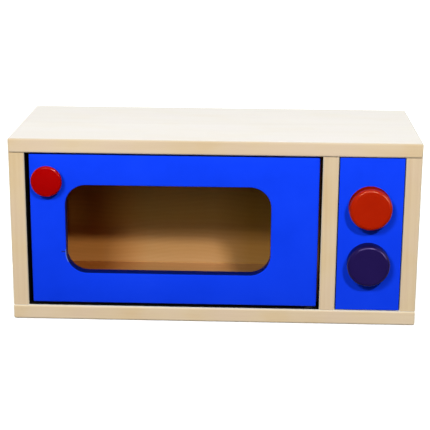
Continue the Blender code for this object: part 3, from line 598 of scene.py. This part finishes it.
# These boards get the oven space's painted shade, and the painted shade of the strip behind the
# door gap
level = {"face": "Z", "tones": LEVEL_TONES, "inner": oven_space, "gap_shade": door_gap}
upright = {"face": "X", "face_tones": SIDE_TONES, "inner": oven_space, "gap_shade": door_gap}
birch = {
    "top_board": wood("birch_top", "X", seed=1.0, rim=TOP_RIM_SANDED_AND_HIGHLIT, **level),
    "bottom_board": wood("birch_bottom", "X", seed=2.3, lines=0.06, bend=0.06, wave=7.0,
                         ring=0.0125, shade_across=FLOOR_SHADE_ACROSS, **level),
    "left_side_board": wood("birch_left", "Z", seed=3.1, **upright),
    "right_side_board": wood("birch_right", "Z", seed=4.7, face="X", face_tones=SIDE_TONES),
    "divider_board": wood("birch_divider", "Z", seed=5.9, **upright),
}
plain_birch = wood("birch_strip", "Z", seed=7.7)
plywood = wood("plywood", "X", seed=9.2, tones=PLY_TONES, stave=0.09, calm=0.55, lines=0.045,
               bend=0.02, wave=6.0, ring=0.0020, roughness=0.60, lacquer=0.0, inner=oven_space)
steel = metal("zinc_steel", (0.62, 0.62, 0.64), roughness=0.40,
              stretch=(2600.0, 300.0, 2600.0), metallic=0.55)
brass = metal("turned_brass", (0.74, 0.54, 0.24), roughness=0.34, stretch=(300.0, 300.0, 3000.0))
nylon = plastic("nylon", (0.74, 0.72, 0.67), roughness=0.48)
black_nylon = plastic("black_nylon", (0.012, 0.012, 0.013), roughness=0.50)
ferrite = plastic("ferrite", (0.055, 0.055, 0.060), roughness=0.50, grain=1800.0)
black_felt = felt("pressed_felt")

# Boxes of the painted highlight on the window's eased edge and of the nick beside it, at its lower
# left corner
EDGE_HIGHLIGHT_BOX = ((-0.1700, -0.1635), (-0.0950, -0.0920), (0.0690, 0.0840))
NICK_BOX = ((-0.1729, -0.1684), (-0.0950, -0.0920), (0.0806, 0.0820))
# Painted shade that darkens the blue towards the foot, where less light falls
FALLOFF_SHADE_SHARE = 0.82
FALLOFF_SHADE_BELOW = 0.03                   # the painted shade starts this far below the oven space
FALLOFF_SHADE_ABOVE = 0.02                   # and ends this far above it
# The darker edge colour also darkens the gaps round the door as painted shade
blue = paint("blue_paint",
             ((0.0043, 0.0460, 0.850), (0.0055, 0.0520, 0.920), (0.0075, 0.0590, 0.955)),
             roughness=0.46, shine=0.22, tint=(0.06, 0.22, 1.0), speckle=420.0,
             edge=(0.0012, 0.0090, 0.150), highlight_and_nick=(EDGE_HIGHLIGHT_BOX, NICK_BOX),
             falloff_shade=(FALLOFF_SHADE_SHARE, oven_low - FALLOFF_SHADE_BELOW, oven_high + FALLOFF_SHADE_ABOVE))
red = paint("red_paint",
            ((0.335, 0.0002, 0.0003), (0.385, 0.0003, 0.0004), (0.425, 0.0010, 0.0010)),
            roughness=0.15, shine=0.34, tint=(1.0, 0.50, 0.46), dull_sides=0.0)
orange_red = paint("orange_red_paint",
                   ((0.360, 0.0085, 0.0001), (0.405, 0.0115, 0.0002), (0.440, 0.0150, 0.0010)),
                   roughness=0.20, shine=0.50, tint=(1.0, 0.60, 0.38),
                   edge=(0.300, 0.0080, 0.0002), dull_sides=0.0)
purple = paint("purple_paint",
               ((0.0110, 0.0050, 0.0570), (0.0135, 0.0062, 0.0680), (0.0165, 0.0080, 0.0790)),
               roughness=0.20, shine=0.50, tint=(0.60, 0.46, 1.0),
               edge=(0.0070, 0.0040, 0.0540), dull_sides=0.03)

by_slot = {"birch": plain_birch, "plywood": plywood, "steel": steel, "brass": brass,
           "nylon": nylon, "black_nylon": black_nylon, "magnet": ferrite, "felt": black_felt,
           "blue_paint": blue, "red_paint": red, "orange_red_paint": orange_red,
           "purple_paint": purple}
for entry in frame["record"]["subparts"]:
    node = entry["node"]
    material = birch[node] if node in birch else by_slot[entry["material_slot"]]
    nodes[node].data.materials.clear()
    nodes[node].data.materials.append(material)


# Door panel, with finer curves than the CAD solid

WINDOW_LEFT = door_low.x + 0.0396
WINDOW_RIGHT = door_high.x - 0.0531
WINDOW_BOTTOM = door_low.z + 0.0358
WINDOW_TOP = door_high.z - 0.0350
WINDOW_RADIUS = 0.024
WINDOW_EASE = 0.0012
DOOR_RADIUS = 0.0018
DOOR_EASE = 0.0018
HINGE_EASE = 0.0012
LEAST_RADIUS = 0.0004
CORNER_STEPS = 20
EASE_STEPS = 6

# Profiles of holes as (radius, depth behind the face that is cut)
KNOB_SCREW_HOLE = ((0.0043, -OVERRUN), (0.0043, 0.0), (0.0023, 0.002), (0.0023, 0.03))
STRIKE_HOLE = ((0.0063, -OVERRUN), (0.0063, 0.0018), (0.0018, 0.0018), (0.0018, 0.0085))


def rounded_outline(left, right, bottom, top, radius):
    """Points of a rounded rectangle in X and Z, with the same count for any radius."""
    points = []
    corners = (((right - radius, top - radius), 0), ((left + radius, top - radius), 90),
               ((left + radius, bottom + radius), 180), ((right - radius, bottom + radius), 270))
    for centre, start in corners:
        points += arc(centre, radius, start, start + 90, CORNER_STEPS)
    return points


def eased_wall(edges, radius, ease, first, last, sign, hinge_ease=0.0):
    """Loops of points from one depth behind the front to another, eased at both ends.

    sign is 1 for the door's outer edges and -1 for the edges of its window. hinge_ease is what
    the right side, where the door turns, loses besides at the front."""
    left, right, bottom, top = edges
    into = 1 if last > first else -1
    turns = [90 * step / EASE_STEPS for step in range(EASE_STEPS + 1)]
    loops = []
    for face, way, degrees in ((first, into, turns), (last, -into, turns[::-1])):
        for angle in map(math.radians, degrees):
            fall = 1 - math.sin(angle)
            inset = sign * ease * fall
            depth = face + way * ease * (1 - math.cos(angle))
            softened = hinge_ease * fall if face == 0 else 0.0
            outline = rounded_outline(left + inset, right - inset - softened, bottom + inset,
                                      top - inset, max(radius - inset, LEAST_RADIUS))
            loops.append([(x, door_low.y + depth, z) for x, z in outline])
    return loops


def make_door_panel():
    thickness = door_high.y - door_low.y
    outer = (door_low.x, door_high.x, door_low.z, door_high.z)
    window = (WINDOW_LEFT, WINDOW_RIGHT, WINDOW_BOTTOM, WINDOW_TOP)
    loops = eased_wall(outer, DOOR_RADIUS, DOOR_EASE, 0.0, thickness, 1, HINGE_EASE)
    loops += eased_wall(window, WINDOW_RADIUS, WINDOW_EASE, thickness, 0.0, -1)
    bm = bmesh.new()
    rings = [[bm.verts.new(point) for point in points] for points in loops]
    for ring, following in zip(rings, rings[1:] + rings[:1]):
        skin(bm, ring, following)
    door = finished(bm, "door_panel_painted", blue, "door", FLAT_SHARP)

    cutters = []
    for node, turn in (("lower_pivot_bush", Matrix.Identity(4)), ("upper_pivot_bush", FACING_DOWN)):
        low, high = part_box(node)
        start = low.z if node.startswith("lower") else high.z
        placing = Matrix.Translation(((low.x + high.x) / 2, (low.y + high.y) / 2, start)) @ turn
        radius = (high.x - low.x) / 2 + FIT_GAP
        depth = high.z - low.z + FIT_GAP
        cutters.append(turned([(radius, -OVERRUN), (radius, depth)], HOLE_SIDES, placing))
    cutters.append(turned(KNOB_SCREW_HOLE, SCREW_HOLE_SIDES, seat("door_knob_screw")[0]))
    low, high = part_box("strike_plate")
    centre = (low + high) / 2
    placing = Matrix.Translation((centre.x, door_high.y, centre.z)) @ FACING_FRONT
    cutters.append(turned(STRIKE_HOLE, HOLE_SIDES, placing))
    carve(door, cutters, FLAT_SHARP)
    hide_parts("door_panel")


# Knob and dials, turned with fine profiles whose heights run forwards from the rear face

def make_knob():
    placing, radius, depth = seat("door_knob")
    hole, hole_depth = 0.0023, 0.0075
    neck, neck_height = 0.010, 0.0045
    waist, waist_part, waist_steps = 0.05, 0.72, 8      # depth and height as parts of the neck
    rim, rim_start, rim_end, rim_steps = 0.0028, -75, 72, (8, 12)     # start and end in degrees
    dome, dome_power, dome_steps = 0.0012, 2.2, 12
    profile = [(0, hole_depth), (hole, hole_depth), (hole, 0), (neck, 0)]
    for step in range(1, waist_steps):
        profile.append((neck * (1 - waist * math.sin(math.pi * step / waist_steps)),
                        neck_height * waist_part * step / waist_steps))
    profile += arc((radius - rim, neck_height + rim), rim, rim_start, 0, rim_steps[0])
    profile += arc((radius - rim, depth - dome - rim), rim, 0, rim_end, rim_steps[1])
    reach = radius - rim + rim * math.cos(math.radians(rim_end))
    drop = dome + rim * (1 - math.sin(math.radians(rim_end)))
    for step in range(1, dome_steps + 1):
        share = 1 - step / dome_steps
        profile.append((reach * share, depth - drop * share ** dome_power))
    knob = finished(turned(profile, KNOB_SIDES, placing), "door_knob_turned", red, "door",
                    TURNED_SHARP)
    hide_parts("door_knob")
    return knob


def make_dial(node, material, body):
    placing, radius, depth = seat(node)
    front_round, rear_round, round_steps = 0.0042, 0.0015, 10
    bore, bore_share, face_steps = 0.0033, 0.6, 6
    bore_depth = depth * bore_share + FIT_GAP
    profile = [(0, bore_depth), (bore, bore_depth), (bore, 0)]
    profile += arc((radius - rear_round, rear_round), rear_round, -90, 0, round_steps)
    profile += arc((radius - front_round, depth - front_round), front_round, 0, 90, round_steps)
    for step in range(1, face_steps + 1):
        profile.append(((radius - front_round) * (1 - step / face_steps), depth))
    dial = finished(turned(profile, DIAL_SIDES, placing), node + "_turned", material, body,
                    TURNED_SHARP)
    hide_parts(node)
    return dial


# Screws with a cross recess, and the catch

LIP = 0.0003                        # thickness of a screw head's edge
SHAFT_SHARE = 0.5                   # shares of the head's radius
RECESS_REACH = 0.56
RECESS_DEPTH = 0.55
RECESS_OUTSIDE = 0.2                # how far the cutter stands out, as a share of its reach
RECESS_TAPERS = (1.1, 0.5)          # its size there and at its foot
ARM_WIDTH = 0.24                    # half the width of an arm, as a share of its reach,
ARM_TAPER = 0.4                     # which narrows by this share of the taper only


def cross_recess(placing, reach, depth):
    """A cutter for a cross recess that tapers from outside the head's face inwards."""
    bm = bmesh.new()
    rings = []
    for height, taper in zip((reach * RECESS_OUTSIDE, -depth), RECESS_TAPERS):
        arm = reach * taper
        half = reach * ARM_WIDTH * (1 - ARM_TAPER + ARM_TAPER * taper)
        corners = []
        for quarter in range(4):
            angle = math.pi / 2 * quarter
            for across, along in ((arm, half), (half, half), (half, arm)):
                corners.append((across * math.cos(angle) - along * math.sin(angle),
                                across * math.sin(angle) + along * math.cos(angle)))
        rings.append([bm.verts.new(placing @ Vector((x, y, height))) for x, y in corners])
    skin(bm, *rings)
    for ring in rings:
        bm.faces.new(ring)
    return bm


def make_screw(node, axis, turn, body):
    """A countersunk screw. axis is the index of its axis, and turn the way its head looks."""
    low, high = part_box(node)
    across = (axis + 1) % 3
    head = (high[across] - low[across]) / 2
    shaft = head * SHAFT_SHARE
    length = high[axis] - low[axis]
    head_face = (low + high) / 2
    head_face[axis] = low[axis] if turn is FACING_DOWN else high[axis]
    placing = Matrix.Translation(head_face) @ turn
    profile = [(0, 0), (head - LIP, 0), (head, -LIP), (shaft, -LIP - (head - shaft)),
               (shaft, -length + shaft), (0, -length)]
    screw = finished(turned(profile, SCREW_SIDES, placing), node + "_turned", steel, body,
                     FLAT_SHARP)
    carve(screw, [cross_recess(placing, head * RECESS_REACH, head * RECESS_DEPTH)], FLAT_SHARP)
    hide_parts(node)


def make_screws():
    for board in ("left_side", "divider", "right_side"):
        for end in ("front", "rear"):
            make_screw(board + "_" + end + "_base_screw", 2, FACING_DOWN, "case")
    for side in ("left", "right"):
        for height in ("lower", "upper"):
            make_screw(side + "_panel_" + height + "_screw", 1, FACING_REAR, "case")
    for height in ("lower", "upper"):
        make_screw(height + "_catch_screw", 0, FACING_RIGHT, "case")
    make_screw("door_knob_screw", 1, FACING_REAR, "door")
    make_screw("strike_screw", 1, FACING_REAR, "door")


def make_catch():
    """The catch's housing: a rounded block with two ears, a pocket and two screw holes."""
    low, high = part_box("catch_housing")
    ear = 0.003
    block_half = 0.011
    rounding, rounding_steps = 0.0007, 4
    shaft_gap, shaft_depth = 0.0002, 0.01
    middle = (low.z + high.z) / 2
    outline = [(low.x, low.z), (low.x + ear, low.z), (low.x + ear, middle - block_half),
               (high.x, middle - block_half), (high.x, middle + block_half),
               (low.x + ear, middle + block_half), (low.x + ear, high.z), (low.x, high.z)]
    bm = bmesh.new()
    front = [bm.verts.new((x, low.y, z)) for x, z in outline]
    rear = [bm.verts.new((x, high.y, z)) for x, z in outline]
    bm.faces.new(front)
    bm.faces.new(rear)
    skin(bm, front, rear)
    bmesh.ops.recalc_face_normals(bm, faces=bm.faces)
    off_wall = low.x + 0.0001
    outer = [edge for edge in bm.edges if any(vert.co.x > off_wall for vert in edge.verts)]
    bmesh.ops.bevel(bm, geom=outer, offset=rounding, segments=rounding_steps, profile=0.5,
                    affect="EDGES", clamp_overlap=True)
    housing = finished(bm, "catch_housing_moulded", black_nylon, "case",
                       TURNED_SHARP)

    magnet_low, magnet_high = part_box("catch_magnet")
    centre = (magnet_low + magnet_high) / 2
    radius = (magnet_high.x - magnet_low.x) / 2 + FIT_GAP
    depth = magnet_high.y - magnet_low.y + FIT_GAP
    placing = Matrix.Translation((centre.x, low.y, centre.z)) @ FACING_FRONT
    cutters = [turned([(radius, -depth), (radius, OVERRUN)], HOLE_SIDES, placing)]
    for node in ("lower_catch_screw", "upper_catch_screw"):
        screw_low, screw_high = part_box(node)
        centre = (screw_low + screw_high) / 2
        head = (screw_high.y - screw_low.y) / 2 + FIT_GAP
        shaft = head * SHAFT_SHARE + shaft_gap
        profile = [(shaft, -shaft_depth), (shaft, -head * SHAFT_SHARE - FIT_GAP),
                   (head, -FIT_GAP), (head, OVERRUN)]
        placing = Matrix.Translation((screw_high.x, centre.y, centre.z)) @ FACING_RIGHT
        cutters.append(turned(profile, SCREW_HOLE_SIDES, placing))
    carve(housing, cutters, TURNED_SHARP)
    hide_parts("catch_housing")


make_door_panel()
knob = make_knob()
dials = (make_dial("upper_dial", orange_red, "upper_dial_set"),
         make_dial("lower_dial", purple, "lower_dial_set"))
make_screws()
make_catch()


# Stage: what the camera sees of it is near white, and what it throws on the part is dark

FLOOR_HALF = 12.0
FLOOR_DROP = 0.0002
FLOOR_SEEN = 0.94
FLOOR_THROWN = 0.05
FLOOR_ROUGHNESS = 0.9
FLOOR_GLOW = 0.34                   # near the part
GLOW_RANGE = (0.45, 1.6)            # distances between which it grows to one

# The world is dark in front of the part and bright behind it
BEHIND_RANGE = (-0.4, 0.6)
ROOM_GREYS = (0.02, 0.60)
MIRRORED_GREYS = (0.03, 1.0)


def light_path(tree):
    """The light path's outputs, and one for what the camera sees, also through clear things."""
    path = add(tree, "LightPath", {}).outputs
    seen = maths(tree, "ADD", path["Is Camera Ray"], path["Is Transmission Ray"], clamp=True)
    return path, seen


def make_floor():
    material, tree, shader = new_material("pale_floor")
    path, seen = light_path(tree)
    colour = blend_colours(tree, seen, grey(FLOOR_THROWN), grey(FLOOR_SEEN))
    put_all(tree, shader, {"Base Color": colour, "Roughness": FLOOR_ROUGHNESS,
                           "Specular IOR Level": 0.0})
    away = add(tree, "VectorMath", {0: place_vector(tree)}, operation="LENGTH").outputs["Value"]
    glow = maths(tree, "MAXIMUM", spread(tree, away, *GLOW_RANGE), FLOOR_GLOW)
    glow = add(tree, "Emission", {"Color": WHITE, "Strength": times(tree, glow, seen)})
    both = add(tree, "AddShader", {0: shader.outputs[0], 1: glow.outputs[0]})
    put(tree, tree.nodes["Material Output"].inputs["Surface"], both.outputs[0])
    bm = bmesh.new()
    bmesh.ops.create_grid(bm, x_segments=2, y_segments=2, size=FLOOR_HALF)
    floor = scene_object(bm, "floor")
    floor.data.materials.append(material)
    floor.location = (0, 0, -FLOOR_DROP)


def make_world():
    world = bpy.data.worlds.new("studio")
    world.use_nodes = True
    tree = world.node_tree
    behind = spread(tree, parts_of(tree, "Generated")[1], *BEHIND_RANGE)
    path, seen = light_path(tree)
    room = blend_colours(tree, behind, *map(grey, ROOM_GREYS))
    mirrored = blend_colours(tree, behind, *map(grey, MIRRORED_GREYS))
    colour = blend_colours(tree, path["Is Glossy Ray"], room, mirrored)
    colour = blend_colours(tree, seen, colour, WHITE)
    put_all(tree, tree.nodes["Background"], {"Color": colour, "Strength": 1.0})
    scene.world = world


# Lights. A wash lights the part without being reflected. A glint is seen only in reflections,
# and only in those of the knob or the dials.

FRONT = (0, -0.09, 0.1)
MIDDLE = (0, 0, 0.1)
LIGHTS = (
    # name, kind, what it looks at, direction to it, distance, width, height, power
    ("key_left", "wash", FRONT, (-0.36, -1.0, 0.68), 3.0, 0.66, 0.30, 49.5),
    ("key_right", "wash", FRONT, (0.34, -1.0, 0.712), 3.0, 0.28, 0.16, 52.0),
    ("fill", "wash", FRONT, (-0.27, -1.0, 0.36), 3.0, 0.90, 1.20, 12.0),
    ("top_soft", "both", MIDDLE, (0.0, 0.25, 1.0), 2.2, 1.8, 1.8, 5.5),
    ("left_soft", "wash", MIDDLE, (-1.0, 0.35, 0.10), 2.4, 1.0, 1.0, 27.0),
    ("right_soft", "wash", MIDDLE, (1.0, 0.35, 0.10), 2.4, 1.0, 1.0, 27.0),
    ("rear_soft", "wash", MIDDLE, (0.0, 1.0, 0.14), 2.4, 1.4, 0.8, 20.0),
    ("top_glint", "glint", FRONT, (-0.02, -1.0, 0.685), 3.0, 2.5, 0.20, 50.0),
    ("knob_glint", "glint", FRONT, (0.36, -1.0, 0.70), 3.0, 0.20, 0.12, 180.0),
    ("dial_glint", "glint", FRONT, (0.36, -1.0, 0.70), 3.0, 0.20, 0.12, 16.0),
    ("side_glint", "glint", (0, -0.1, 0.1), (1.14, -1.0, 0.40), 2.4, 0.25, 0.90, 22.0),
)
GLINTS_ON = {"top_glint": (knob, *dials), "knob_glint": (knob,), "dial_glint": dials,
             "side_glint": (knob, *dials)}


def area_light(name, kind, target, direction, distance, width, height, power):
    data = bpy.data.lights.new(name, "AREA")
    data.shape = "RECTANGLE"
    data.size = width
    data.size_y = height
    data.energy = power
    lamp = bpy.data.objects.new(name, data)
    way = Vector(direction).normalized()
    lamp.location = Vector(target) + way * distance
    lamp.rotation_euler = way.to_track_quat("Z", "Y").to_euler()
    lamp.visible_camera = False
    lamp.visible_diffuse = kind != "glint"
    lamp.visible_glossy = kind != "wash"
    scene.collection.objects.link(lamp)
    return lamp


def light_only(lamp, pieces):
    """Keeps a lamp's light to some pieces, as a snoot would."""
    lit = bpy.data.collections.new(lamp.name + "_pieces")
    for piece in pieces:
        lit.objects.link(piece)
    lamp.light_linking.receiver_collection = lit


def make_lights():
    for light in LIGHTS:
        lamp = area_light(*light)
        if lamp.name in GLINTS_ON:
            light_only(lamp, GLINTS_ON[lamp.name])


# Camera, fitted to the straight edges of the photo

CAMERA_PLACE = (0.0481, -1.4533, 0.5161)
CAMERA_TURN = (1.292361, -0.006221, 0.036238)
LENS = 105.63
SENSOR = 36.0


def make_camera():
    data = bpy.data.cameras.new("camera")
    data.sensor_width = SENSOR
    data.lens = LENS
    data.clip_start = 0.05
    data.clip_end = 60.0
    camera = bpy.data.objects.new("camera", data)
    camera.location = CAMERA_PLACE
    camera.rotation_euler = CAMERA_TURN
    scene.collection.objects.link(camera)
    scene.camera = camera


make_floor()
make_world()
make_lights()
make_camera()
scene.view_settings.view_transform = "Standard"

bpy.context.view_layer.update()
